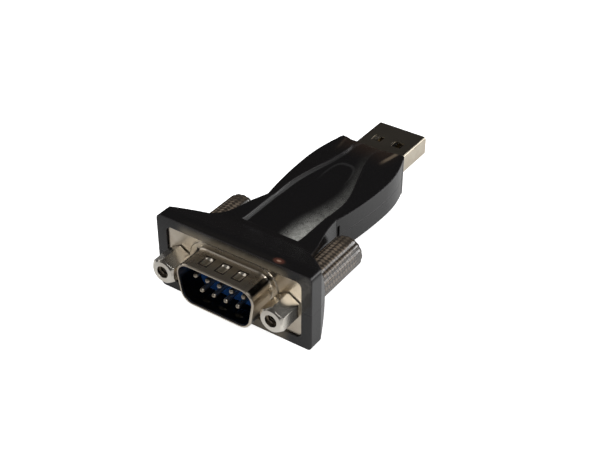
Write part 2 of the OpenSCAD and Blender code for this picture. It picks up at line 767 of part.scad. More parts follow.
module dsub_rear_insulator() {
    color([0.05, 0.09, 0.24]) difference() {
        union() {
            along_y(insulator_joint_y, bulkhead_y + wall / 2) rear_body_inside();
            along_y(bulkhead_y + wall / 2 - eps, cup_front_y)
                round_rect(5 * pin_pitch, insulator_h, flange_corner_r);
        }
        pin_holes(insulator_joint_y - eps, cup_front_y + eps);
    }
}

// One contact: a round-nosed pin in front and a solder cup behind
module contact() {
    tip_y = plate_y - pin_reach;
    difference() {
        translate([0, tip_y, 0]) rotate([-90, 0, 0]) rotate_extrude($fn = 24)
            polygon(concat([[0, 0]],
                [for (i = [0 : 5]) [pin_d / 2 * sin(i * 18), pin_d / 2 * (1 - cos(i * 18))]],
                [[pin_d / 2, cup_front_y - tip_y], [cup_d / 2, cup_front_y - tip_y],
                 [cup_d / 2, cup_rear_y - tip_y], [0, cup_rear_y - tip_y]]));
        rod(cup_rear_y - cup_depth, cup_rear_y + eps, cup_d / 2 - cup_wall);
    }
}

module pin_row_upper() {
    color([0.75, 0.70, 0.58]) for (i = [-2 : 2]) {
        translate([i * pin_pitch, 0, row_gap / 2]) contact();
    }
}

module pin_row_lower() {
    color([0.75, 0.70, 0.58]) for (i = [-1.5 : 1.5]) {
        translate([i * pin_pitch, 0, -row_gap / 2]) contact();
    }
}

// Knurled core, shank and threaded tip of a thumbscrew
module thumbscrew_core() {
    core_y = knob_front_y - knob_gap / 2;
    core_r = core_d / 2;
    ring = (core_len - 2 * knurl_start) / knurl_rings;
    color([0.72, 0.66, 0.55]) {
        rod(thread_depth + fit_gap, core_y + eps, shank_d / 2);
        difference() {
            translate([0, core_y, 0]) union() {
                rod(0, core_len, core_r - knurl_depth);
                intersection() {
                    along_y(knurl_start, core_len - tongue_inset) polygon([for (i = [0 : 2 * knurl_n - 1])
                        let (r = i % 2 == 0 ? core_r : core_r - knurl_depth)
                        [r * cos(i * 180 / knurl_n), r * sin(i * 180 / knurl_n)]]);
                    rod(0, core_len, core_r - frame_inset);
                }
            }
            for (i = [1 : knurl_rings - 1]) {
                translate([0, core_y + knurl_start + i * ring, 0]) rotate([-90, 0, 0]) rotate_extrude()
                    translate([core_r, 0]) circle(r = knurl_depth, $fn = 4);
            }
        }
    }
}

// Moulded sleeve with grip flutes round a thumbscrew's core
module knob() {
    r = knob_d / 2;
    color([0.42, 0.38, 0.34]) difference() {
        translate([0, knob_front_y, 0]) rotate([-90, 0, 0]) rotate_extrude()
            polygon(concat([[0, 0], [r - knob_edge, 0], [r, knob_edge]],
                [for (i = [0 : 6]) [r - knob_round_r * (1 - cos(i * 15)),
                    knob_len - knob_round_r * (1 - sin(i * 15))]],
                [[0, knob_len]]));
        rod(knob_front_y - eps, knob_front_y - knob_gap / 2 + core_len + 2 * fit_gap, core_d / 2 + fit_gap);
        for (i = [0 : flute_n - 1]) rotate([0, i * 360 / flute_n, 0]) {
            translate([r + flute_r - flute_depth, 0, 0])
                rod(knob_front_y + knob_lead, knob_rear_y + eps, flute_r);
        }
    }
}

// Hexagonal nut with an open threaded hole in front and the shank's seat behind
module jack_nut() {
    across = nut_af / cos(30) / 2;
    color([0.78, 0.77, 0.74]) difference() {
        intersection() {
            rotate([-90, 0, 0]) rotate([0, 0, 30]) cylinder(h = nut_len, r = across, $fn = 6);
            union() {
                cone(0, nut_chamfer, nut_af / 2 - nut_face_inset, across + eps);
                rod(nut_chamfer - eps, nut_len, across + eps);
            }
        }
        rod(-eps, thread_depth, thread_d / 2);
        rod(thread_depth - eps, nut_len + eps, shank_d / 2 + fit_gap);
    }
}

module thumbscrew_core_left() { translate([-jack_x, 0, 0]) thumbscrew_core(); }
module thumbscrew_core_right() { translate([jack_x, 0, 0]) thumbscrew_core(); }
module knob_left() { translate([-jack_x, 0, 0]) knob(); }
module knob_right() { translate([jack_x, 0, 0]) knob(); }
module jack_nut_left() { translate([-jack_x, 0, 0]) jack_nut(); }
module jack_nut_right() { translate([jack_x, 0, 0]) jack_nut(); }

module usb_shell() {
    color([0.62, 0.61, 0.59]) difference() {
        along_y(usb_rear_y, usb_tip_y) round_rect(usb_w, usb_h, usb_corner_r);
        along_y(usb_rear_y - eps, usb_tip_y + eps)
            round_rect(usb_w - 2 * usb_t, usb_h - 2 * usb_t, usb_corner_r - usb_t);
        for (s = [-1, 1]) {
            translate([s * window_gap / 2, usb_tip_y - window_at - window_len / 2, 0])
                cube([window_w, window_len, 2 * usb_h], center = true);
        }
    }
}

module usb_insulator() {
    inner_w = usb_w - 2 * usb_t - 2 * fit_gap;
    inner_h = usb_h - 2 * usb_t - 2 * fit_gap;
    color([0.12, 0.12, 0.12]) difference() {
        intersection() {
            along_y(usb_rear_y, usb_tip_y - tongue_inset)
                round_rect(inner_w, inner_h, usb_corner_r - usb_t - fit_gap);
            union() {
                translate([-usb_w / 2, usb_rear_y, -inner_h / 2]) cube([usb_w, usb_len, tongue_t]);
                translate([-usb_w / 2, usb_rear_y, -usb_h / 2]) cube([usb_w, usb_block_len, usb_h]);
            }
        }
        usb_contact_bars(fit_gap);
    }
}

// The four contacts, grown by a margin: along the tongue, up its root and onto the board
module usb_contact_bars(g) {
    low_z = tongue_t - (usb_h / 2 - usb_t - fit_gap) - contact_t;
    rise_y = usb_rear_y + 2 * contact_t;
    for (x = [-contact_outer_x, -contact_inner_x, contact_inner_x, contact_outer_x]) {
        translate([x - contact_w / 2 - g, 0, 0]) {
            translate([0, rise_y - g, low_z - g])
                cube([contact_w + 2 * g, usb_tip_y - 2 * contact_t - 1 - rise_y + 2 * g, contact_t + 2 * g]);
            translate([0, rise_y - g, low_z - g])
                cube([contact_w + 2 * g, contact_t + 2 * g, board_t / 2 + contact_t - low_z + 2 * g]);
            translate([0, board_rear_y - tail_len, board_t / 2 - g])
                cube([contact_w + 2 * g, rise_y + contact_t - board_rear_y + tail_len, contact_t + 2 * g]);
        }
    }
}

module usb_contacts() {
    color([0.83, 0.68, 0.35]) usb_contact_bars(0);
}

module circuit_board() {
    hole_r = post_d / 2 + 2 * fit_gap;
    color([0.05, 0.24, 0.12]) difference() {
        union() {
            translate([-board_neck_w / 2, board_front_y, -board_t / 2])
                cube([board_neck_w, board_rear_y - board_front_y, board_t]);
            translate([-board_w / 2, board_step_y, -board_t / 2])
                cube([board_w, board_rear_y - board_step_y, board_t]);
        }
        for (p = post_places) {
            translate([p[0], p[1], -board_t]) cylinder(h = 2 * board_t, r = hole_r);
        }
    }
}

// A chip body with a row of bent leads along each long side
module chip(l, w, n, pitch, lead_w, span) {
    shoulder = 0.35;
    color([0.07, 0.07, 0.075]) translate([-w / 2, -l / 2, lead_t]) cube([w, l, chip_h]);
    color([0.75, 0.75, 0.74]) for (s = [-1, 1]) for (i = [0 : n - 1]) {
        translate([0, (i - (n - 1) / 2) * pitch - lead_w / 2, 0]) {
            translate([s > 0 ? w / 2 - eps : -span / 2, 0, 0]) cube([(span - w) / 2 + eps, lead_w, lead_t]);
            translate([s > 0 ? w / 2 - eps : -w / 2 - shoulder, 0, 0])
                cube([shoulder + eps, lead_w, lead_t + chip_h / 2]);
        }
    }
}

module interface_chip() {
    translate([0, plate_y + bridge_at, board_t / 2])
        chip(bridge_len, bridge_w, 14, bridge_pitch, 0.3, bridge_w + 2 * lead_reach);
}

module line_driver_chip() {
    translate([0, plate_y + driver_at, -board_t / 2]) mirror([0, 0, 1])
        chip(driver_len, driver_w, 8, driver_pitch, 0.42, driver_w + 2 * lead_reach);
}

module crystal() {
    color([0.78, 0.78, 0.76]) translate([-crystal_len / 2, plate_y + crystal_at - crystal_w / 2, board_t / 2])
        cube([crystal_len, crystal_w, crystal_h]);
}

module capacitors() {
    color([0.55, 0.42, 0.28]) for (i = [-2 : 2]) {
        translate([i * row_pitch - cap_w / 2, plate_y + cap_at, board_t / 2]) cube([cap_w, cap_len, cap_w]);
    }
}

module resistors() {
    color([0.08, 0.08, 0.09]) for (i = [-1.5 : 1.5]) {
        translate([i * row_pitch - res_w / 2, plate_y + res_at, board_t / 2]) cube([res_w, res_len, res_h]);
    }
}

upper_shell();
lower_shell();
dsub_front_shell();
dsub_rear_shell();
dsub_front_insulator();
dsub_rear_insulator();
pin_row_upper();
pin_row_lower();
thumbscrew_core_left();
thumbscrew_core_right();
knob_left();
knob_right();
jack_nut_left();
jack_nut_right();
usb_shell();
usb_insulator();
usb_contacts();
circuit_board();
interface_chip();
line_driver_chip();
crystal();
capacitors();
resistors();
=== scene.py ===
"""Dresses a USB to serial adapter for rendering: smoked housing, plated plugs and clear thumbscrews."""

import math

import bpy
from bpy.props import FloatProperty, FloatVectorProperty, IntProperty, PointerProperty
from mathutils import Matrix, Vector


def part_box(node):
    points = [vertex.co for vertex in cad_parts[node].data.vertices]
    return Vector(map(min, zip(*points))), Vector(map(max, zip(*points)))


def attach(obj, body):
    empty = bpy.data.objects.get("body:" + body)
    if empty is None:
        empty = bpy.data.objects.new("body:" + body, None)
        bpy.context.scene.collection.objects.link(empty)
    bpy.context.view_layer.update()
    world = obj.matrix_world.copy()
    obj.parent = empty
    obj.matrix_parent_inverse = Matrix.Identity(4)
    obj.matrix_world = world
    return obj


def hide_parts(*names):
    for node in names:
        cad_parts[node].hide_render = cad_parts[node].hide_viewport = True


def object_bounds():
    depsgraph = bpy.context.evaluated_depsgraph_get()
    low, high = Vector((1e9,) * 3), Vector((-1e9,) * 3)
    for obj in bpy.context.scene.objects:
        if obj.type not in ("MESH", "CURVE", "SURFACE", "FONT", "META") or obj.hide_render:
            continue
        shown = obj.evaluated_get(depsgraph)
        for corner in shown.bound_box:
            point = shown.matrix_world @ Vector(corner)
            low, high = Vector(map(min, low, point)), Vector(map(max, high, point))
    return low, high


bl_info = {
    "name": "USB to serial adapter",
    "version": (1, 0, 0),
    "blender": (4, 5, 0),
    "location": "3D View > Sidebar > Adapter",
    "description": "Finishes for a small adapter between a USB port and a serial plug",
    "category": "Object",
}

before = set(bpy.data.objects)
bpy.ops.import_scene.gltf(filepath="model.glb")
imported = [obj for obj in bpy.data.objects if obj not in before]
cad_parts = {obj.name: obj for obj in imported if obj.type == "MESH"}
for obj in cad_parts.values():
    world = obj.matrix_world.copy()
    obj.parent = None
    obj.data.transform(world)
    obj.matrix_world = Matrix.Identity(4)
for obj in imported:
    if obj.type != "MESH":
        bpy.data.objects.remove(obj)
CAD_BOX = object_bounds()
MM = 0.001
SIDES = {"left": "thumbscrew_left", "right": "thumbscrew_right"}

# Places that the finishes share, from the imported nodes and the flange's front
FLANGE = 0.45 * MM
PLATE_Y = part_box("dsub_rear_shell")[0][1] - FLANGE
PLATE_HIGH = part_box("dsub_front_shell")[1][2]
USB_HIGH = Vector(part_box("usb_shell")[1])
SHELL_HIGH = Vector(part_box("upper_shell")[1])
CORE_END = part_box("thumbscrew_core_right")[1][1]
SCREW_X = 12.495 * MM

# The sunken panel: its front edge, its half-widths and the stretch on which it narrows
PANEL_FRONT = PLATE_Y + 11.6 * MM
PANEL_HALF = 6.45 * MM
PANEL_HALF_REAR = 2.65 * MM
PANEL_NARROWS = (PANEL_FRONT + 15.4 * MM, PANEL_FRONT + 32.8 * MM)
PANEL_LEVEL = (3.0 * MM, 3.4 * MM)

# The thumb rest: its middle, and half the width and length of its rim
REST_Y = PLATE_Y + 31 * MM
REST_HALF = (2.9 * MM, 8.4 * MM)

# Where the flange's edge stops showing through the lip as a painted glint, on either side
LIP_ENDS = (13.5 * MM, 10.5 * MM)

# The metal tab under the plastic: its middle, and the reach of its painted glint and of the glint's
# bright core
TAB = (9.9 * MM, PLATE_Y + 0.7 * MM, 8.4 * MM)
TAB_GLINT = (1.5 * MM, 1.0 * MM, 0.9 * MM)
TAB_GLINT_CORE = (0.6 * MM, 0.35 * MM, 0.5 * MM)

# The D-shaped shell: half its width and height inside, and its row of pressed dimples
DSHELL_HALF = (8.2 * MM, 4.22 * MM)
DIMPLE_Y = PLATE_Y - 2.95 * MM
DIMPLE_PITCH = 3.8 * MM
DIMPLE_HALF = (0.95 * MM, 1.35 * MM)
DIMPLE_ROW = 5.5 * MM
DIMPLE_LEVEL = (4.25 * MM, 4.35 * MM)

# The windows in the USB shell: their middles and half their size
WINDOW_X = 2.5 * MM
WINDOW_Y = USB_HIGH.y - 6.25 * MM
WINDOW_HALF = 1.2 * MM

# Rows and columns of beads on the knurled cores
BEAD_ROW = 0.85 * MM
BEADS_ROUND = 18.0

# The sleeves' rounded end and their mesh, and the threads: where they start, turns and steps a turn
SLEEVE_END = 1.4 * MM
POINTS_A_FLUTE = 8
THREAD_START = 0.5 * MM
THREAD_TURNS = 3.9
THREAD_STEPS = 40

# Colours of the small parts, of light on metal and plastic, and of the stage; tarnish is a share
DARK_PLASTIC = (0.012, 0.012, 0.013)
GOLD = (0.78, 0.53, 0.2)
EPOXY = (0.009, 0.009, 0.01)
CERAMIC = (0.25, 0.15, 0.07)
BOARD = (0.008, 0.07, 0.022)
TRACKS = (0.015, 0.12, 0.035)
TARNISH = (0.72, 0.66, 0.58)
LIT_METAL = (0.95, 0.90, 0.80)
LIT_PLASTIC = (0.80, 0.72, 0.58)
WHITE = (1.0, 1.0, 1.0)
FLOOR_TONES = ((0.80, 0.80, 0.80), (0.82, 0.82, 0.82))
FLOOR_DARK = (0.02, 0.018, 0.018)
ROOM_TONES = ((0.026, 0.023, 0.021), (0.054, 0.052, 0.051))


class ADAPTER_PG_sizes(bpy.types.PropertyGroup):
    """Sizes of the fine detail."""

    thread_pitch: FloatProperty(
        name="Thread pitch", description="Pitch of the jack nuts' threads",
        default=0.635 * MM, unit="LENGTH")
    thread_depth: FloatProperty(
        name="Thread depth", description="Depth of the jack nuts' threads",
        default=0.2 * MM, unit="LENGTH")
    thread_hole: FloatProperty(
        name="Thread hole", description="Diameter of the hole in which a thread lies",
        default=2.59 * MM, unit="LENGTH")
    sleeve_bore: FloatProperty(
        name="Sleeve bore", description="Diameter of the bore in a smoked sleeve",
        default=5.0 * MM, unit="LENGTH")
    bore_length: FloatProperty(
        name="Bore length", description="Length of the bore in a smoked sleeve",
        default=12.13 * MM, unit="LENGTH")
    flutes: IntProperty(
        name="Flutes", description="Number of grip flutes round a sleeve", default=16, min=8, max=24)
    flute_depth: FloatProperty(
        name="Flute depth", description="Depth of the grip flutes", default=0.15 * MM, unit="LENGTH")
    edge_round: FloatProperty(
        name="Edge radius", description="Softness of the moulded housing's edges",
        default=0.3 * MM, unit="LENGTH")
    metal_edge: FloatProperty(
        name="Metal edge radius", description="Softness of the sheet metal's edges",
        default=0.1 * MM, unit="LENGTH")


class ADAPTER_PG_colours(bpy.types.PropertyGroup):
    """Colours of the finishes."""

    smoke: FloatVectorProperty(
        name="Smoke", description="Colour of the housing", subtype="COLOR", size=3,
        min=0, max=1, default=(0.0045, 0.0042, 0.0045))
    brown: FloatVectorProperty(
        name="Brown tint", description="Colour of the plastic where metal lies close under it",
        subtype="COLOR", size=3, min=0, max=1, default=(0.040, 0.022, 0.013))
    # Painted sheen on the sunken panel
    painted_sheen: FloatVectorProperty(
        name="Satin", description="Colour of the sheen on the sunken panel", subtype="COLOR", size=3,
        min=0, max=1, default=(0.42, 0.42, 0.39))
    # Lighter edges of the housing, partly wear and partly a painted highlight
    edge_wear_and_highlight: FloatVectorProperty(
        name="Worn edges", description="Colour of the housing's lighter edges", subtype="COLOR",
        size=3, min=0, max=1, default=(0.045, 0.040, 0.042))
    # Painted glint of a metal tab under the plastic
    glint: FloatVectorProperty(
        name="Glint", description="Colour where a metal tab shows through the plastic",
        subtype="COLOR", size=3, min=0, max=1, default=(0.13, 0.04, 0.025))
    # Painted highlight in the middle of the tab's glint
    tab: FloatVectorProperty(
        name="Tab", description="Colour in the middle of the tab that shows through the plastic",
        subtype="COLOR", size=3, min=0, max=1, default=(0.36, 0.22, 0.16))
    # Painted highlight where the USB shell's edges lie under the plastic
    streak_highlight: FloatVectorProperty(
        name="Streak", description="Colour where the USB shell's edge shows through the plastic",
        subtype="COLOR", size=3, min=0, max=1, default=(0.13, 0.10, 0.07))
    # Painted glint where the flange's upper edge lies under the lip
    lip: FloatVectorProperty(
        name="Lip", description="Colour where the flange's upper edge shows through the plastic",
        subtype="COLOR", size=3, min=0, max=1, default=(0.125, 0.105, 0.075))
    # Painted light on the wall along the panel's left edge
    panel_wall_light: FloatVectorProperty(
        name="Panel wall", description="Colour of the wall along the panel's left edge",
        subtype="COLOR", size=3, min=0, max=1, default=(0.10, 0.10, 0.10))
    # Painted highlight on the rear half of the thumb rest's rim
    rest_rim_highlight: FloatVectorProperty(
        name="Thumb rest rim", description="Colour of the thumb rest's rim", subtype="COLOR",
        size=3, min=0, max=1, default=(0.055, 0.055, 0.055))
    # Lightest on the beads; darker between them, and darker still on the lower side as painted shade
    sleeve: FloatVectorProperty(
        name="Sleeve", description="Colour of the thumbscrews' smoked sleeves", subtype="COLOR",
        size=3, min=0, max=1, default=(0.175, 0.135, 0.098))
    nickel: FloatVectorProperty(
        name="Nickel", description="Colour of the serial plug's plating", subtype="COLOR", size=3,
        min=0, max=1, default=(0.66, 0.59, 0.49))
    bright: FloatVectorProperty(
        name="Bright nickel", description="Colour of the jack nuts", subtype="COLOR", size=3,
        min=0, max=1, default=(0.84, 0.80, 0.72))
    thread: FloatVectorProperty(
        name="Thread", description="Colour of the threads in the jack nuts", subtype="COLOR",
        size=3, min=0, max=1, default=(0.22, 0.19, 0.15))
    core: FloatVectorProperty(
        name="Core", description="Colour of the knurled cores", subtype="COLOR", size=3,
        min=0, max=1, default=(0.74, 0.62, 0.46))
    usb: FloatVectorProperty(
        name="USB metal", description="Colour of the USB shell", subtype="COLOR", size=3,
        min=0, max=1, default=(0.74, 0.67, 0.55))
    blue: FloatVectorProperty(
        name="Blue", description="Colour of the serial plug's insulator", subtype="COLOR", size=3,
        min=0, max=1, default=(0.012, 0.060, 0.21))


class ADAPTER_PG_stage(bpy.types.PropertyGroup):
    """Camera and light."""

    azimuth: FloatProperty(
        name="Azimuth", description="Direction of the camera round the adapter", subtype="ANGLE",
        default=math.radians(34.36))
    elevation: FloatProperty(
        name="Elevation", description="Height of the camera above the horizon", subtype="ANGLE",
        default=math.radians(35.59))
    roll: FloatProperty(
        name="Roll", description="Turn of the camera about its own axis", subtype="ANGLE",
        default=math.radians(-0.17))
    camera_place: FloatVectorProperty(
        name="Camera", description="Place of the camera", subtype="TRANSLATION", unit="LENGTH",
        size=3, default=(104.511 * MM, -125.361 * MM, 132.450 * MM))
    lens: FloatProperty(
        name="Lens", description="Focal length in millimetres on a 36 mm wide sensor",
        default=68.6)
    key_light: FloatProperty(
        name="Key light", description="Power of the key lamp in watts", default=0.55)
    fill_light: FloatProperty(
        name="Fill light", description="Power of the fill lamp in watts", default=0.25)
    edge_light: FloatProperty(
        name="Edge light", description="Power of the lamp behind on the right, in watts", default=0.5)
    world_light: FloatProperty(
        name="World light", description="Strength of the surrounding light", default=0.75)


def settings():
    """The scene's groups of sizes, colours and stage values."""
    scene = bpy.context.scene
    return scene.adapter_sizes, scene.adapter_colours, scene.adapter_stage


class Nodes:
    """Short calls that add and link the nodes of one tree."""

    def __init__(self, tree):
        self.tree = tree

    def add(self, kind, **values):
        """Adds a node and sets its attributes."""
        node = self.tree.nodes.new(kind)
        for name, value in values.items():
            setattr(node, name, value)
        return node

    def put(self, node, socket, value):
        """Links a socket, or sets it to a constant."""
        target = node.inputs[socket]
        if isinstance(value, bpy.types.NodeSocket):
            self.tree.links.new(value, target)
        else:
            target.default_value = value

    def math(self, operation, first, second=0.0, clamp=False):
        """A Math node's result."""
        node = self.add("ShaderNodeMath", operation=operation, use_clamp=clamp)
        self.put(node, 0, first)
        self.put(node, 1, second)
        return node.outputs[0]

    def times(self, first, *others):
        """The product of several values."""
        for other in others:
            first = self.math("MULTIPLY", first, other)
        return first

    def minus(self, first, second):
        """The difference of two values."""
        return self.math("SUBTRACT", first, second)

    def size(self, value):
        """A value without its sign."""
        return self.math("ABSOLUTE", value)

    def range(self, value, low, high, new_low=0.0, new_high=1.0):
        """A value mapped smoothly from one range to another."""
        node = self.add("ShaderNodeMapRange", interpolation_type="SMOOTHSTEP")
        for socket, number in zip(range(5), (value, low, high, new_low, new_high)):
            self.put(node, socket, number)
        return node.outputs[0]

    def mix(self, factor, first, second):
        """Two colours mixed."""
        node = self.add("ShaderNodeMix", data_type="RGBA")
        self.put(node, 0, factor)
        self.put(node, 6, first)
        self.put(node, 7, second)
        return node.outputs[2]

    def noise(self, vector, scale, detail, rough):
        """A noise texture's value."""
        node = self.add("ShaderNodeTexNoise")
        self.put(node, "Vector", vector)
        self.put(node, "Scale", scale)
        self.put(node, "Detail", detail)
        self.put(node, "Roughness", rough)
        return node.outputs[0]

    def place(self):
        """Object coordinates, as a vector and as X, Y and Z."""
        coords = self.add("ShaderNodeTexCoord").outputs["Object"]
        parts = self.add("ShaderNodeSeparateXYZ")
        self.put(parts, 0, coords)
        return coords, parts.outputs

    def group(self, name, **values):
        """A node group placed in the tree with its own values."""
        node = self.add("ShaderNodeGroup", node_tree=bpy.data.node_groups[name])
        for socket, value in values.items():
            self.put(node, socket.replace("_", " "), value)
        return node.outputs


def colour(rgb):
    """Four numbers for a colour socket."""
    return (*rgb, 1.0)


def new_group(name, inputs, outputs):
    """A shader node group of values; returns its nodes, its inputs and its output node."""
    tree = bpy.data.node_groups.new(name, "ShaderNodeTree")
    for socket, default in inputs.items():
        made = tree.interface.new_socket(name=socket, in_out="INPUT", socket_type="NodeSocketFloat")
        made.default_value = default
    for socket in outputs:
        tree.interface.new_socket(name=socket, in_out="OUTPUT", socket_type="NodeSocketFloat")
    nodes = Nodes(tree)
    return nodes, nodes.add("NodeGroupInput").outputs, nodes.add("NodeGroupOutput")


def make_grain_group():
    """Fine grain: a height for bump and a mask for colour."""
    nodes, given, out = new_group("fine grain", {"Scale": 4000.0, "Coarse": 600.0}, ("Height", "Mask"))
    coords, _ = nodes.place()
    fine = nodes.noise(coords, given["Scale"], 2.0, 0.6)
    coarse = nodes.noise(coords, given["Coarse"], 4.0, 0.55)
    nodes.put(out, "Height", nodes.math("ADD", fine, nodes.times(coarse, 0.4)))
    nodes.put(out, "Mask", nodes.range(coarse, 0.35, 0.7))


def make_handling_group():
    """Handling marks: soft smears that vary the roughness, and a mask of the edges for wear and a painted
    highlight.
    """
    nodes, given, out = new_group(
        "handling", {"Roughness": 0.3, "Spread": 0.1, "Radius": 0.2 * MM}, ("Roughness", "Edge"))
    coords, _ = nodes.place()
    smear = nodes.noise(coords, 160.0, 5.0, 0.62)
    spread = nodes.times(nodes.minus(smear, 0.5), given["Spread"])
    nodes.put(out, "Roughness", nodes.math("ADD", given["Roughness"], spread, clamp=True))
    bevel = nodes.add("ShaderNodeBevel", samples=4)
    nodes.put(bevel, "Radius", given["Radius"])
    flat = nodes.add("ShaderNodeNewGeometry").outputs["Normal"]
    dot = nodes.add("ShaderNodeVectorMath", operation="DOT_PRODUCT")
    nodes.put(dot, 0, bevel.outputs[0])
    nodes.put(dot, 1, flat)
    nodes.put(out, "Edge", nodes.range(dot.outputs["Value"], 0.995, 0.85))


def start_material(name):
    """A material with its nodes and its Principled shader."""
    material = bpy.data.materials.new(name)
    material.use_nodes = True
    nodes = Nodes(material.node_tree)
    shader = material.node_tree.nodes["Principled BSDF"]
    return material, nodes, shader


def bump(nodes, shader, height, strength, distance, radius=0.0):
    """Bump from a height, over edges softened by a radius."""
    node = nodes.add("ShaderNodeBump")
    nodes.put(node, "Strength", strength)
    nodes.put(node, "Distance", distance)
    nodes.put(node, "Height", height)
    if radius:
        bevel = nodes.add("ShaderNodeBevel", samples=6)
        nodes.put(bevel, "Radius", radius)
        nodes.put(node, "Normal", bevel.outputs[0])
    nodes.put(shader, "Normal", node.outputs[0])


def band(nodes, value, centre, half, soft):
    """A soft band around a value."""
    return nodes.range(nodes.size(nodes.minus(value, centre)), half + soft, half)


def spot(nodes, axes, centre, radii):
    """A soft oval spot around a point: one at its middle, nothing at its rim."""
    total = 0.0
    for value, middle, radius in zip(axes, centre, radii):
        away = nodes.math("DIVIDE", nodes.minus(value, middle), radius)
        total = nodes.math("ADD", nodes.times(away, away), total)
    return nodes.range(total, 1.0, 0.1)


def panel_edge(nodes, y):
    """The sunken panel's half-width along the housing."""
    return nodes.range(y, *PANEL_NARROWS, PANEL_HALF, PANEL_HALF_REAR)


def panel_left_wall(nodes, x, y):
    """One on the wall along the panel's left edge, which faces the light and is painted lighter."""
    away = nodes.math("ADD", x, panel_edge(nodes, y))
    wall = band(nodes, away, 0.15 * MM, 0.25 * MM, 0.3 * MM)
    start = nodes.range(y, PANEL_FRONT - 0.1 * MM, PANEL_FRONT + 0.3 * MM)
    end = nodes.range(y, PANEL_FRONT + 30 * MM, PANEL_FRONT + 16 * MM, 0.25, 1.0)
    return nodes.times(wall, start, end)


def thumb_rest_rim(nodes, x, y, z):
    """One on the rear half of the thumb rest's rim, which is painted lighter as a highlight."""
    half_w, half_len = REST_HALF
    across = nodes.math("DIVIDE", nodes.size(x), half_w)
    beyond = nodes.math("MAXIMUM", nodes.minus(y, REST_Y), 0.0)
    along = nodes.math("DIVIDE", beyond, half_len)
    away = nodes.math("ADD", nodes.math("POWER", across, 3.0), nodes.math("POWER", along, 3.0))
    rim = band(nodes, away, 1.0, 0.05, 0.13)
    return nodes.times(rim, nodes.range(z, *PANEL_LEVEL), nodes.range(y, REST_Y, REST_Y + 5 * MM))


def panel_sheen(nodes, x, y, z, grain):
    """Painted sheen on the sunken panel, strongest at its front right corner and along that edge."""
    gap = nodes.minus(panel_edge(nodes, y), x)
    inside = nodes.range(gap, -0.15 * MM, 0.1 * MM)
    reach = nodes.range(y, PANEL_FRONT + 4 * MM, PANEL_FRONT + 26 * MM, 5.6 * MM, 2.4 * MM)
    inner = nodes.range(gap, reach, -0.6 * MM)
    start = nodes.range(y, PANEL_FRONT - 0.05 * MM, PANEL_FRONT + 0.05 * MM)
    front = nodes.times(nodes.range(y, PANEL_FRONT + 17 * MM, PANEL_FRONT), 0.9)
    along = nodes.range(y, PANEL_FRONT + 35 * MM, PANEL_FRONT + 2 * MM, 0.02, 0.36)
    glow = nodes.math("MAXIMUM", front, along)
    speckle = nodes.range(grain, 0.45, 0.95, 0.35, 1.25)
    return nodes.times(glow, inner, inside, start, nodes.range(z, *PANEL_LEVEL), speckle)


def plate_edge_glint(nodes, side, y, z):
    """Painted glint: how far the flange's upper edge shows through the lip of the housing above it."""
    lip = nodes.range(y, PLATE_Y + 1.4 * MM, PLATE_Y + 0.4 * MM)
    height = nodes.range(z, SHELL_HIGH.z + 0.2 * MM, PLATE_HIGH + 0.1 * MM)
    ends = nodes.range(side, *LIP_ENDS)
    return nodes.times(lip, height, ends, 0.95)


def over_usb(nodes, side, y):
    """How far the USB shell shows through the housing's rear end as a brown tint."""
    rear = nodes.range(y, SHELL_HIGH.y - 9 * MM, SHELL_HIGH.y)
    return nodes.times(rear, nodes.range(side, USB_HIGH.x + 2 * MM, USB_HIGH.x - 2 * MM), 0.45)


def usb_streak_highlight(nodes, side, x, y):
    """Painted highlight: how far the USB shell's long edges show through as light streaks, the right one
    more than the left.
    """
    middle = nodes.range(y, PLATE_Y + 42 * MM, PLATE_Y + 50 * MM,
                         USB_HIGH.x - 0.7 * MM, USB_HIGH.x + 0.2 * MM)
    line = band(nodes, side, middle, 0.08 * MM, 0.5 * MM)
    start = nodes.range(y, PLATE_Y + 42.5 * MM, PLATE_Y + 46 * MM)
    return nodes.times(line, start, nodes.range(x, -MM, MM, 0.2, 1.0), 0.7)


def smoked_plastic():
    """The housing: smoked black plastic, brown where metal lies close under it, with painted glints,
    highlights and sheen.
    """
    sizes, colours, _ = settings()
    material, nodes, shader = start_material("smoked plastic")
    _, (x, y, z) = nodes.place()
    side = nodes.size(x)
    smear = nodes.group("handling", Roughness=0.24, Spread=0.14, Radius=sizes.edge_round)
    grain = nodes.group("fine grain", Scale=5200.0, Coarse=900.0)
    sheen = panel_sheen(nodes, x, y, z, grain["Height"])
    tint = colour(colours.smoke)
    for mask, paint in (
            (over_usb(nodes, side, y), colours.brown),
            # Painted highlight along the USB shell's edges
            (usb_streak_highlight(nodes, side, x, y), colours.streak_highlight),
            # Painted glint of the metal tab under the plastic
            (nodes.times(spot(nodes, (x, y, z), TAB, TAB_GLINT), 0.45), colours.glint),
            # Painted bright middle of the tab's glint
            (nodes.times(spot(nodes, (x, y, z), TAB, TAB_GLINT_CORE), 0.6), colours.tab),
            # Lighter edges: partly wear, partly a painted highlight
            (nodes.times(smear["Edge"], 0.5), colours.edge_wear_and_highlight),
            # Painted light on the panel's left wall
            (nodes.times(panel_left_wall(nodes, x, y), 0.5), colours.panel_wall_light),
            # Painted highlight on the thumb rest's rim
            (nodes.times(thumb_rest_rim(nodes, x, y, z), 0.22), colours.rest_rim_highlight),
            # Painted glint of the flange's upper edge
            (plate_edge_glint(nodes, side, y, z), colours.lip),
            # Painted sheen on the panel
            (sheen, colours.painted_sheen)):
        tint = nodes.mix(mask, tint, colour(paint))
    nodes.put(shader, "Base Color", tint)
    nodes.put(shader, "Roughness", nodes.math("ADD", smear["Roughness"], nodes.times(sheen, 0.25)))
    shader.inputs["IOR"].default_value = 1.5
    bump(nodes, shader, grain["Height"], 0.12, 0.05 * MM, sizes.edge_round)
    return material


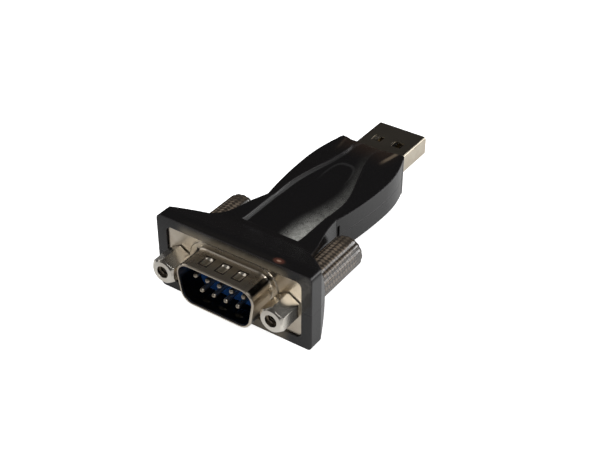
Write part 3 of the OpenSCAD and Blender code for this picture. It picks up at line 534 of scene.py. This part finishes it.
def knurl_beads(nodes):
    """Beads of the knurled core as they show through a sleeve: one on a bead, nothing between, and less
    on the lower side as painted shade.
    """
    coords, (x, y, z) = nodes.place()
    turn = nodes.math("ARCTAN2", z, nodes.minus(nodes.size(x), SCREW_X))
    columns = nodes.math("SINE", nodes.times(turn, BEADS_ROUND))
    rows = nodes.math("SINE", nodes.times(y, 2 * math.pi / BEAD_ROW))
    blur = nodes.minus(nodes.noise(coords, 1400.0, 2.0, 0.6), 0.5)
    bead = nodes.math("ADD", nodes.math("ADD", columns, rows), nodes.times(blur, 2.4))
    over_core = nodes.range(y, CORE_END + 0.3 * MM, CORE_END - 0.5 * MM, 0.3, 1.0)
    # Painted shade: less of the beads shows towards the bottom of the knob
    lit = nodes.range(z, -3.5 * MM, 1.5 * MM, 0.2, 1.0)
    return nodes.times(nodes.range(bead, -0.9, 1.3), over_core, lit)


def smoked_sleeve():
    """The knobs: smoked clear plastic through which the core's beads show, painted darker on the lower
    side as shade.
    """
    _, colours, _ = settings()
    material, nodes, shader = start_material("smoked sleeve")
    smear = nodes.group("handling", Roughness=0.2, Spread=0.1, Radius=0.1 * MM)
    grain = nodes.group("fine grain", Scale=3000.0, Coarse=1100.0)
    # The beads' mask, less on the knob's lower side as painted shade
    cloud = nodes.times(nodes.range(grain["Height"], 0.4, 1.0, 0.35, 1.0), knurl_beads(nodes))
    tint = nodes.mix(cloud, colour([0.15 * c for c in colours.sleeve]), colour(colours.sleeve))
    nodes.put(shader, "Base Color", tint)
    nodes.put(shader, "Roughness", smear["Roughness"])
    shader.inputs["Transmission Weight"].default_value = 0.12
    shader.inputs["Specular IOR Level"].default_value = 0.15
    shader.inputs["IOR"].default_value = 1.4
    bump(nodes, shader, grain["Height"], 0.1, 0.05 * MM)
    return material


def plated_metal(name, tone, roughness, grain_scale, radius, shade=None, deep=0.12, lift=None):
    """Plating with a fine grain, faint stains and edges lighter as wear and painted highlight; shade
    darkens, lift brightens.
    """
    material, nodes, shader = start_material(name)
    smear = nodes.group("handling", Roughness=roughness, Spread=0.16, Radius=radius)
    grain = nodes.group("fine grain", Scale=grain_scale, Coarse=grain_scale / 8)
    dull = [c * s for c, s in zip(tone, TARNISH)]
    light = [min(1.0, 1.35 * c) for c in tone]
    tint = nodes.mix(nodes.times(grain["Mask"], 0.35), colour(tone), colour(dull))
    # Edges painted brighter, partly as wear and partly as a highlight
    tint = nodes.mix(nodes.times(smear["Edge"], 0.6), tint, colour(light))
    if lift:
        tint = nodes.mix(lift(nodes), tint, colour(LIT_METAL))
    if shade:
        tint = nodes.mix(shade(nodes), tint, colour([deep * c for c in tone]))
    nodes.put(shader, "Base Color", tint)
    nodes.put(shader, "Roughness", smear["Roughness"])
    shader.inputs["Metallic"].default_value = 1.0
    bump(nodes, shader, grain["Height"], 0.14, 0.03 * MM, radius)
    return material


def inside_plug(nodes):
    """Painted shade: one inside the D-shaped shell, where the dark insulator shades it, and on the
    dimples' rims.
    """
    _, (x, y, z) = nodes.place()
    half_w, half_h = DSHELL_HALF
    wide = nodes.range(nodes.size(x), half_w + 0.3 * MM, half_w)
    high = nodes.range(nodes.size(z), half_h + 0.08 * MM, half_h)
    depth = nodes.range(y, -0.1 * MM, 0.5 * MM)
    return nodes.math("MAXIMUM", nodes.times(wide, high, depth), dimple_rims(nodes))


def dimple_parts(nodes):
    """The way to the nearest dimple's outline, less than nothing inside it, and a mask of their row."""
    _, (x, y, z) = nodes.place()
    half_w, half_len = DIMPLE_HALF
    shifted = nodes.math("ADD", x, 1.5 * DIMPLE_PITCH)
    step = nodes.minus(nodes.math("PINGPONG", shifted, DIMPLE_PITCH / 2), DIMPLE_PITCH / 2)
    across = nodes.minus(nodes.size(step), half_w)
    along = nodes.minus(nodes.size(nodes.minus(y, DIMPLE_Y)), half_len)
    row = nodes.range(nodes.size(x), DIMPLE_ROW + 0.1 * MM, DIMPLE_ROW)
    return nodes.math("MAXIMUM", across, along), nodes.times(nodes.range(z, *DIMPLE_LEVEL), row)


def dimple_rims(nodes):
    """One on the outlines of the pressed dimples, painted dark as shade."""
    away, row = dimple_parts(nodes)
    return nodes.times(band(nodes, away, 0.0, 0.08 * MM, 0.12 * MM), row, 0.8)


def dimple_floors(nodes):
    """One inside the pressed dimples, which catch the light."""
    away, row = dimple_parts(nodes)
    return nodes.times(nodes.range(away, 0.0, -0.25 * MM), row, 0.45)


def upward(nodes):
    """One on faces that look up, which on the USB shell are painted darker as shade."""
    parts = nodes.add("ShaderNodeSeparateXYZ")
    nodes.put(parts, 0, nodes.add("ShaderNodeNewGeometry").outputs["Normal"])
    return nodes.range(parts.outputs[2], 0.3, 0.8)


def inside_usb(nodes):
    """One on the contacts deeper in the USB shell, which lie in its shade."""
    _, (_, y, _) = nodes.place()
    return nodes.range(y, USB_HIGH.y - 0.5 * MM, USB_HIGH.y - 2 * MM)


def inside_nut(nodes):
    """One on the shank's tip, which lies deep in the jack nut and is painted dark as shade."""
    _, (_, y, _) = nodes.place()
    return nodes.range(y, 5.6 * MM, 5.0 * MM)


def under_windows(nodes):
    """One on the block under the USB shell's windows, where light falls in."""
    _, (x, y, _) = nodes.place()
    across = band(nodes, nodes.size(x), WINDOW_X, WINDOW_HALF, 0.2 * MM)
    return nodes.times(across, band(nodes, y, WINDOW_Y, WINDOW_HALF, 0.2 * MM))


def moulded_plastic(name, tone, roughness, lift=None):
    """Small mouldings with a fine grain, paler where light falls on them."""
    material, nodes, shader = start_material(name)
    smear = nodes.group("handling", Roughness=roughness, Spread=0.12, Radius=0.1 * MM)
    grain = nodes.group("fine grain", Scale=3000.0, Coarse=500.0)
    tint = nodes.mix(grain["Mask"], colour(tone), colour([0.7 * c for c in tone]))
    if lift:
        tint = nodes.mix(lift(nodes), tint, colour(LIT_PLASTIC))
    nodes.put(shader, "Base Color", tint)
    nodes.put(shader, "Roughness", smear["Roughness"])
    bump(nodes, shader, grain["Height"], 0.1, 0.04 * MM, 0.08 * MM)
    return material


def board_mask():
    """Green solder mask with faint copper tracks under it."""
    material, nodes, shader = start_material("solder mask")
    coords, _ = nodes.place()
    tracks = nodes.add("ShaderNodeTexBrick", offset=0.5)
    nodes.put(tracks, "Vector", coords)
    nodes.put(tracks, "Scale", 420.0)
    nodes.put(tracks, "Mortar Size", 0.08)
    smear = nodes.group("handling", Roughness=0.35, Spread=0.1, Radius=0.1 * MM)
    tint = nodes.mix(tracks.outputs["Fac"], colour(BOARD), colour(TRACKS))
    nodes.put(shader, "Base Color", tint)
    nodes.put(shader, "Roughness", smear["Roughness"])
    bump(nodes, shader, tracks.outputs["Fac"], 0.3, 0.03 * MM)
    return material


def dress(material, *names):
    """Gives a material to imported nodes."""
    for name in names:
        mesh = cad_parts[name].data
        mesh.materials.clear()
        mesh.materials.append(material)


def add_piece(name, vertices, faces, material, body):
    """A new smooth mesh object with one material that rides on a body."""
    mesh = bpy.data.meshes.new(name)
    mesh.from_pydata(vertices, [], faces)
    mesh.polygons.foreach_set("use_smooth", [True] * len(mesh.polygons))
    mesh.materials.append(material)
    mesh.update()
    piece = bpy.data.objects.new(name, mesh)
    bpy.context.scene.collection.objects.link(piece)
    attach(piece, body)
    return piece


def thread_mesh(x, start, hole_r, depth, pitch):
    """A helical ridge with a triangular section that lies in a round hole along Y."""
    steps = THREAD_STEPS
    count = int(THREAD_TURNS * steps)
    vertices = []
    for i in range(count + 1):
        angle = 2 * math.pi * i / steps
        fade = min(1.0, 3 * i / steps, 3 * (count - i) / steps)
        for radius, shift in ((hole_r, -0.42), (hole_r - depth * fade, -0.06),
                              (hole_r - depth * fade, 0.06), (hole_r, 0.42)):
            vertices.append((x + radius * math.cos(angle), start + pitch * (i / steps + shift),
                             radius * math.sin(angle)))
    faces = []
    for i in range(count):
        for k in range(4):
            a, b = 4 * i + k, 4 * i + (k + 1) % 4
            faces.append((a, a + 4, b + 4, b))
    faces += [(0, 1, 2, 3), (4 * count + 3, 4 * count + 2, 4 * count + 1, 4 * count)]
    return vertices, faces


def lathe_mesh(x, rows, count, flutes):
    """A closed turned form along Y; each row is a station, a radius and a flute depth."""
    vertices = []
    faces = []
    for y, radius, depth in rows[1:-1]:
        for k in range(count):
            angle = 2 * math.pi * k / count
            dip = depth * (0.5 - 0.5 * math.cos(flutes * angle)) ** 1.5
            vertices.append((x + (radius - dip) * math.cos(angle), y, (radius - dip) * math.sin(angle)))
    last = len(rows) - 3
    for j in range(last):
        for k in range(count):
            a, b = j * count + k, j * count + (k + 1) % count
            faces.append((a, b, b + count, a + count))
    for row, ring, turned in ((rows[0], 0, False), (rows[-1], last, True)):
        tip = len(vertices)
        vertices.append((x, row[0], 0.0))
        for k in range(count):
            a, b = ring * count + k, ring * count + (k + 1) % count
            faces.append((a, b, tip) if turned else (b, a, tip))
    return vertices, faces


def sleeve_rows(low, high, radius, sizes):
    """Rows of a sleeve: up the bore, round the mouth, along the grip and over the rounded end."""
    bore = sizes.sleeve_bore / 2
    deep = sizes.flute_depth
    soft = SLEEVE_END
    rows = [(low + sizes.bore_length, 0.0, 0.0)]
    rows += [(low + sizes.bore_length * t, bore, 0.0) for t in (1.0, 0.99, 0.5, 0.01, 0.0)]
    for rise, inset in ((0.0, 0.45), (0.04, 0.3), (0.15, 0.12), (0.4, 0.0)):
        rows.append((low + rise * MM, radius - inset * MM, 0.0))
    for i, t in enumerate((0.0, 0.3, 0.75, 1.0)):
        rows.append((low + (0.9 + 0.25 * i) * MM, radius, deep * t))
    rows += [(low + (high - soft - low) * t, radius, deep) for t in (0.3, 0.5, 0.7, 0.9)]
    for i in range(9):
        angle = math.radians(i * 11)
        rows.append((high - soft * (1 - math.sin(angle)), radius - soft * (1 - math.cos(angle)),
                     deep * (1 - i / 12)))
    rows += [(high, radius - soft - 0.25 * MM, 0.0), (high, 0.0, 0.0)]
    return rows


class ADAPTER_OT_groups(bpy.types.Operator):
    """Builds the node groups that several finishes share"""

    bl_idname = "adapter.groups"
    bl_label = "Shared effects"

    def execute(self, context):
        make_grain_group()
        make_handling_group()
        return {"FINISHED"}


class ADAPTER_OT_housing(bpy.types.Operator):
    """Dresses both halves of the housing in smoked plastic"""

    bl_idname = "adapter.housing"
    bl_label = "Housing"

    def execute(self, context):
        dress(smoked_plastic(), "upper_shell", "lower_shell")
        return {"FINISHED"}


class ADAPTER_OT_serial_plug(bpy.types.Operator):
    """Dresses the serial plug's plates, insulators and pins"""

    bl_idname = "adapter.serial_plug"
    bl_label = "Serial plug"

    def execute(self, context):
        sizes, colours, _ = settings()
        # Painted shade inside the shell and on the dimples' rims; painted light in the dimples
        nickel = plated_metal("nickel plate", colours.nickel, 0.29, 2400.0, sizes.metal_edge,
                              shade=inside_plug, deep=0.04, lift=dimple_floors)
        dress(nickel, "dsub_front_shell", "dsub_rear_shell")
        dress(moulded_plastic("blue insulator", colours.blue, 0.3), "dsub_front_insulator",
              "dsub_rear_insulator")
        pins = plated_metal("contact plate", [0.8 * c for c in colours.nickel], 0.3, 3200.0, 0.05 * MM)
        dress(pins, "pin_row_upper", "pin_row_lower")
        return {"FINISHED"}


class ADAPTER_OT_thumbscrews(bpy.types.Operator):
    """Dresses the knobs, their knurled cores and the jack nuts"""

    bl_idname = "adapter.thumbscrews"
    bl_label = "Thumbscrews"

    def execute(self, context):
        sizes, colours, _ = settings()
        sleeve = smoked_sleeve()
        bright = plated_metal("bright nickel", colours.bright, 0.22, 2400.0, sizes.metal_edge)
        thread = plated_metal("thread", colours.thread, 0.35, 2400.0, 0.03 * MM)
        dress(sleeve, "knob_left", "knob_right")
        # The shank's tip deep in the nut is painted dark as shade
        dress(plated_metal("knurled core", colours.core, 0.3, 2600.0, 0.05 * MM, shade=inside_nut),
              "thumbscrew_core_left", "thumbscrew_core_right")
        dress(bright, "jack_nut_left", "jack_nut_right", "crystal")
        for side, body in SIDES.items():
            low, high = (Vector(corner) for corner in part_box("knob_" + side))
            rows = sleeve_rows(low.y, high.y, (high.x - low.x) / 2, sizes)
            form = lathe_mesh((low.x + high.x) / 2, rows, POINTS_A_FLUTE * sizes.flutes, sizes.flutes)
            piece = add_piece("sleeve_" + side, *form, sleeve, body)
            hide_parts("knob_" + side)
            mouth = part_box("jack_nut_" + side)[0][1]
            form = thread_mesh((low.x + high.x) / 2, mouth + THREAD_START, sizes.thread_hole / 2,
                               sizes.thread_depth, sizes.thread_pitch)
            piece = add_piece("thread_" + side, *form, thread, body)
        return {"FINISHED"}


class ADAPTER_OT_usb_plug(bpy.types.Operator):
    """Dresses the USB plug"""

    bl_idname = "adapter.usb_plug"
    bl_label = "USB plug"

    def execute(self, context):
        sizes, colours, _ = settings()
        # Faces of the shell that look up are painted darker as shade
        dress(plated_metal("usb plate", colours.usb, 0.3, 2600.0, sizes.metal_edge,
                           shade=upward, deep=0.5), "usb_shell")
        dress(moulded_plastic("dark insulator", DARK_PLASTIC, 0.4, lift=under_windows), "usb_insulator")
        dress(plated_metal("gold plate", GOLD, 0.25, 2600.0, 0.05 * MM, shade=inside_usb), "usb_contacts")
        return {"FINISHED"}


class ADAPTER_OT_board(bpy.types.Operator):
    """Dresses the circuit board and what is soldered to it"""

    bl_idname = "adapter.board"
    bl_label = "Circuit board"

    def execute(self, context):
        dress(board_mask(), "circuit_board")
        dress(moulded_plastic("moulded epoxy", EPOXY, 0.5), "interface_chip",
              "line_driver_chip", "resistors")
        dress(moulded_plastic("ceramic", CERAMIC, 0.5), "capacitors")
        return {"FINISHED"}


def white_floor():
    """A pale floor with the object's shadow: white to the camera, dark in reflections away from it."""
    material, nodes, shader = start_material("pale floor")
    coords, (x, y, _) = nodes.place()
    cloud = nodes.noise(coords, 6.0, 2.0, 0.5)
    path = nodes.add("ShaderNodeLightPath").outputs
    beyond = nodes.range(nodes.minus(y, x), 0.068, 0.085)
    front = nodes.range(y, 0.0, -0.012, 0.0, 1.08)
    near = nodes.range(x, 0.012, 0.03, 0.5, 0.38)
    sides = nodes.math("MAXIMUM", beyond, near)
    dark = nodes.times(path["Is Glossy Ray"], nodes.math("MAXIMUM", sides, nodes.times(front, 0.62)))
    pale = nodes.mix(cloud, *(colour(tone) for tone in FLOOR_TONES))
    nodes.put(shader, "Base Color", nodes.mix(dark, pale, colour(FLOOR_DARK)))
    shader.inputs["Roughness"].default_value = 0.9
    shader.inputs["Specular IOR Level"].default_value = 0.0
    seen = nodes.math("MAXIMUM", path["Is Camera Ray"], path["Is Transmission Ray"])
    pale_part = nodes.minus(path["Is Glossy Ray"], dark)
    reflected = nodes.times(pale_part, nodes.range(x, 0.0, 0.02, 0.4, 0.6))
    glow = nodes.add("ShaderNodeEmission")
    nodes.put(glow, "Strength", nodes.math("MAXIMUM", nodes.times(seen, 0.78), reflected))
    both = nodes.add("ShaderNodeAddShader")
    nodes.put(both, 0, shader.outputs[0])
    nodes.put(both, 1, glow.outputs[0])
    output = material.node_tree.nodes["Material Output"]
    nodes.put(output, "Surface", both.outputs[0])
    return material


def soft_lamp(name, place, target, size, power):
    """A square area lamp that looks at a target."""
    light = bpy.data.lights.new(name, "AREA")
    light.size = size
    light.energy = power
    lamp = bpy.data.objects.new(name, light)
    bpy.context.scene.collection.objects.link(lamp)
    lamp.location = place
    lamp.rotation_euler = (Vector(target) - Vector(place)).to_track_quat("-Z", "Y").to_euler()


def studio_world(strength):
    """Surrounding light: soft and even on surfaces, dark in reflections as in a dim room."""
    world = bpy.data.worlds.new("studio")
    bpy.context.scene.world = world
    world.use_nodes = True
    nodes = Nodes(world.node_tree)
    background = world.node_tree.nodes["Background"]
    coords = nodes.add("ShaderNodeTexCoord").outputs["Generated"]
    parts = nodes.add("ShaderNodeSeparateXYZ")
    nodes.put(parts, 0, coords)
    height = nodes.range(parts.outputs[2], 0.0, 0.9)
    dim = nodes.mix(height, *(colour(tone) for tone in ROOM_TONES))
    path = nodes.add("ShaderNodeLightPath").outputs
    tone = nodes.mix(path["Is Glossy Ray"], colour(WHITE), dim)
    nodes.put(background, "Color", nodes.mix(path["Is Camera Ray"], tone, colour(WHITE)))
    nodes.put(background, "Strength", nodes.range(path["Is Camera Ray"], 0.0, 1.0, strength, 1.0))


class ADAPTER_OT_stage(bpy.types.Operator):
    """Builds the floor, the lamps, the surrounding light and the camera"""

    bl_idname = "adapter.stage"
    bl_label = "Stage"

    def execute(self, context):
        _, _, stage = settings()
        half = 1.5
        mesh = bpy.data.meshes.new("floor")
        low = CAD_BOX[0].z
        corners = ((-half, -half), (half, -half), (half, half), (-half, half))
        mesh.from_pydata([(x, y, low) for x, y in corners], [], [(0, 1, 2, 3)])
        floor = bpy.data.objects.new("floor", mesh)
        bpy.context.scene.collection.objects.link(floor)
        mesh.materials.append(white_floor())

        centre = (CAD_BOX[0] + CAD_BOX[1]) / 2
        soft_lamp("key", centre + Vector((0.22, -0.20, 0.34)), centre, 0.20, stage.key_light)
        soft_lamp("fill", centre + Vector((-0.34, -0.10, 0.22)), centre, 0.30, stage.fill_light)
        soft_lamp("edge", centre + Vector((0.24, 0.29, 0.17)), centre, 0.20, stage.edge_light)
        studio_world(stage.world_light)

        camera = bpy.data.cameras.new("camera")
        camera.lens = stage.lens
        camera.sensor_width = 36.0
        camera.clip_start = 0.01
        camera.clip_end = 10.0
        view = bpy.data.objects.new("camera", camera)
        bpy.context.scene.collection.objects.link(view)
        forward = Vector((-math.sin(stage.azimuth) * math.cos(stage.elevation),
                          math.cos(stage.azimuth) * math.cos(stage.elevation),
                          -math.sin(stage.elevation)))
        turn = forward.to_track_quat("-Z", "Y").to_matrix() @ Matrix.Rotation(-stage.roll, 3, "Z")
        view.matrix_world = Matrix.Translation(Vector(stage.camera_place)) @ turn.to_4x4()
        bpy.context.scene.camera = view
        bpy.context.scene.view_settings.view_transform = "Standard"
        return {"FINISHED"}


OPERATORS = (
    ADAPTER_OT_groups,
    ADAPTER_OT_housing,
    ADAPTER_OT_serial_plug,
    ADAPTER_OT_thumbscrews,
    ADAPTER_OT_usb_plug,
    ADAPTER_OT_board,
    ADAPTER_OT_stage,
)


class ADAPTER_PT_panel(bpy.types.Panel):
    """Lists the adapter's pieces"""

    bl_idname = "ADAPTER_PT_panel"
    bl_label = "Adapter"
    bl_space_type = "VIEW_3D"
    bl_region_type = "UI"
    bl_category = "Adapter"

    def draw(self, context):
        for operator in OPERATORS:
            self.layout.operator(operator.bl_idname)
        for group in settings():
            for name in group.__annotations__:
                self.layout.prop(group, name)


GROUPS = {
    "adapter_sizes": ADAPTER_PG_sizes,
    "adapter_colours": ADAPTER_PG_colours,
    "adapter_stage": ADAPTER_PG_stage,
}


def register():
    """Registers the classes and hangs the property groups on the scene."""
    for group in GROUPS.values():
        bpy.utils.register_class(group)
    for name, group in GROUPS.items():
        setattr(bpy.types.Scene, name, PointerProperty(type=group))
    for item in (*OPERATORS, ADAPTER_PT_panel):
        bpy.utils.register_class(item)


def unregister():
    """Takes everything back."""
    for item in reversed((*OPERATORS, ADAPTER_PT_panel)):
        bpy.utils.unregister_class(item)
    for name in GROUPS:
        delattr(bpy.types.Scene, name)
    for group in reversed(GROUPS.values()):
        bpy.utils.unregister_class(group)


def main():
    """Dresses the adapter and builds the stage."""
    register()
    for operator in OPERATORS:
        area, name = operator.bl_idname.split(".")
        getattr(getattr(bpy.ops, area), name)()


if __name__ == "__main__":
    main()
